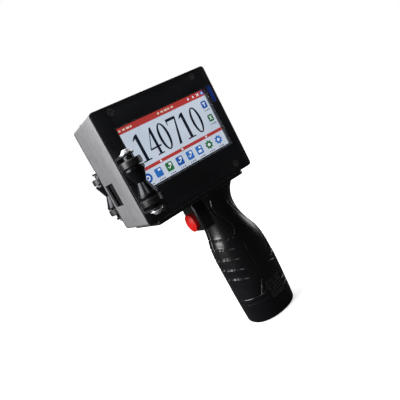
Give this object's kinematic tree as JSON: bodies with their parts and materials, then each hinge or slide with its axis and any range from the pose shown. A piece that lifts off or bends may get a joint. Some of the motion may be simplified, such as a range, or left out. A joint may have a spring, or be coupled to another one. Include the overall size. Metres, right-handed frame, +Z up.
{
  "type": "handheld date code inkjet printer",
  "caption": "Handheld inkjet date coder: flat box with touch screen, side guide rollers, ink cartridge behind a print window, red trigger and battery pistol grip.",
  "frame": {"origin": "middle of the flat base of the battery, which the printer stands on", "axes": "+Z up through the grip to the box, +X from the print face towards the grip heel, +Y from the screen towards the back"},
  "size_m": [0.1245, 0.1064, 0.2485],
  "materials": {
    "black_coat": "fine-textured black powder coat over sheet metal",
    "bracket_coat": "black powder coat over bent aluminium",
    "satin_plate": "satin bead-blasted aluminium with faint mottling",
    "grip_plastic": "satin moulded black plastic with a light sheen",
    "black_plastic": "moulded black plastic",
    "red_button": "glossy red moulded plastic",
    "chrome": "polished chrome plate",
    "steel": "plain turned steel",
    "dark_screw": "black oxide screws",
    "spool_metal": "black anodised turned metal with bright edges",
    "roller_rubber": "black rubber tyres",
    "screen_glass": "touch glass with a black border",
    "display": "display module in a thin metal tray",
    "screen_trim": "anodised inner window frame",
    "board_green": "green solder mask",
    "board_blue": "blue solder mask",
    "chip_black": "moulded chips and sockets",
    "brass": "gold-plated contacts and brass posts",
    "port_blue": "blue moulded port insert",
    "cartridge_blue": "blue-grey cartridge lid",
    "latch_red": "red moulded lever",
    "cell_wrap": "shrink-wrapped cells",
    "cable_red": "insulated battery lead"
  },
  "bodies": {
    "printer": {"front_cover": "black_coat", "back_cover": "black_coat", "housing_frame": "black_coat", "print_plate": "satin_plate", "screw_blocks": "steel", "front_cover_screws": "dark_screw", "back_cover_screws": "dark_screw", "screen_frame": "screen_trim", "touch_glass": "screen_glass", "display_panel": "display", "display_retainer": "black_plastic", "main_board": "board_green", "board_standoffs": "brass", "board_chips": "chip_black", "data_port_shell": "steel", "data_port_tongue": "port_blue", "cartridge_holder": "black_plastic", "ink_cartridge": "black_plastic", "cartridge_cap": "cartridge_blue", "nozzle_plate": "brass", "contact_block": "brass", "latch_pivot": "steel", "door_hinge_pin": "steel", "driver_board": "board_blue", "power_button_bezel": "screen_trim", "charging_jack": "black_plastic", "front_roller_bracket": "bracket_coat", "rear_roller_bracket": "bracket_coat", "bracket_screws": "dark_screw", "front_axle": "steel", "rear_axle": "steel", "front_axle_heads": "chrome", "rear_axle_heads": "chrome", "grip_tray": "black_coat", "tray_screws": "dark_screw", "left_grip_shell": "grip_plastic", "right_grip_shell": "grip_plastic", "grip_posts": "black_plastic", "grip_screws": "dark_screw", "trigger_housing": "grip_plastic", "trigger_spring": "steel", "trigger_switch": "board_blue", "terminal_block": "black_plastic", "battery_cable": "cable_red"},
    "trigger": {"trigger_button": "red_button"},
    "front_roller": {"front_roller_spool": "spool_metal", "front_roller_tyres": "roller_rubber"},
    "rear_roller": {"rear_roller_spool": "spool_metal", "rear_roller_tyres": "roller_rubber"},
    "battery": {"battery_case": "grip_plastic", "battery_cells": "cell_wrap", "battery_circuit": "board_green", "battery_contacts": "brass"},
    "left_latch": {"left_battery_latch": "grip_plastic"},
    "right_latch": {"right_battery_latch": "grip_plastic"},
    "door": {"cartridge_door": "black_coat"},
    "cartridge_lever": {"cartridge_latch": "latch_red"},
    "power_key": {"power_button": "black_plastic"}
  },
  "joints": [
    {"name": "trigger_press", "type": "slide", "parent": "printer", "child": "trigger", "axis": [1, 0, 0], "range_m": [0, 0.003], "stiffness_N_per_m": 500, "springref_m": -0.003, "deforming": ["trigger_spring"]},
    {"name": "front_roller_spin", "type": "hinge", "parent": "printer", "child": "front_roller", "pos_m": [-0.0765, -0.044, 0.179], "axis": [0, 0, 1], "continuous": true},
    {"name": "rear_roller_spin", "type": "hinge", "parent": "printer", "child": "rear_roller", "pos_m": [-0.0765, 0.044, 0.179], "axis": [0, 0, 1], "continuous": true},
    {"name": "battery_slide", "type": "slide", "parent": "printer", "child": "battery", "axis": [0, 0, -1], "range_m": [0, 0.05]},
    {"name": "left_latch_press", "type": "slide", "parent": "battery", "child": "left_latch", "axis": [0, 1, 0], "range_m": [0, 0.0013], "stiffness_N_per_m": 1500, "springref_m": -0.0015},
    {"name": "right_latch_press", "type": "slide", "parent": "battery", "child": "right_latch", "axis": [0, -1, 0], "range_m": [0, 0.0013], "stiffness_N_per_m": 1500, "springref_m": -0.0015},
    {"name": "cartridge_door_swing", "type": "hinge", "parent": "printer", "child": "door", "pos_m": [-0.046, 0.0271, 0.2469], "axis": [-1, 0, 0], "range_deg": [0, 110]},
    {"name": "cartridge_latch_swing", "type": "hinge", "parent": "printer", "child": "cartridge_lever", "pos_m": [-0.016, 0.0135, 0.2365], "axis": [0, 0, 1], "range_deg": [0, 90]},
    {"name": "power_button_press", "type": "slide", "parent": "printer", "child": "power_key", "axis": [-1, 0, 0], "range_m": [0, 0.001], "stiffness_N_per_m": 900, "springref_m": -0.0015}
  ]
}
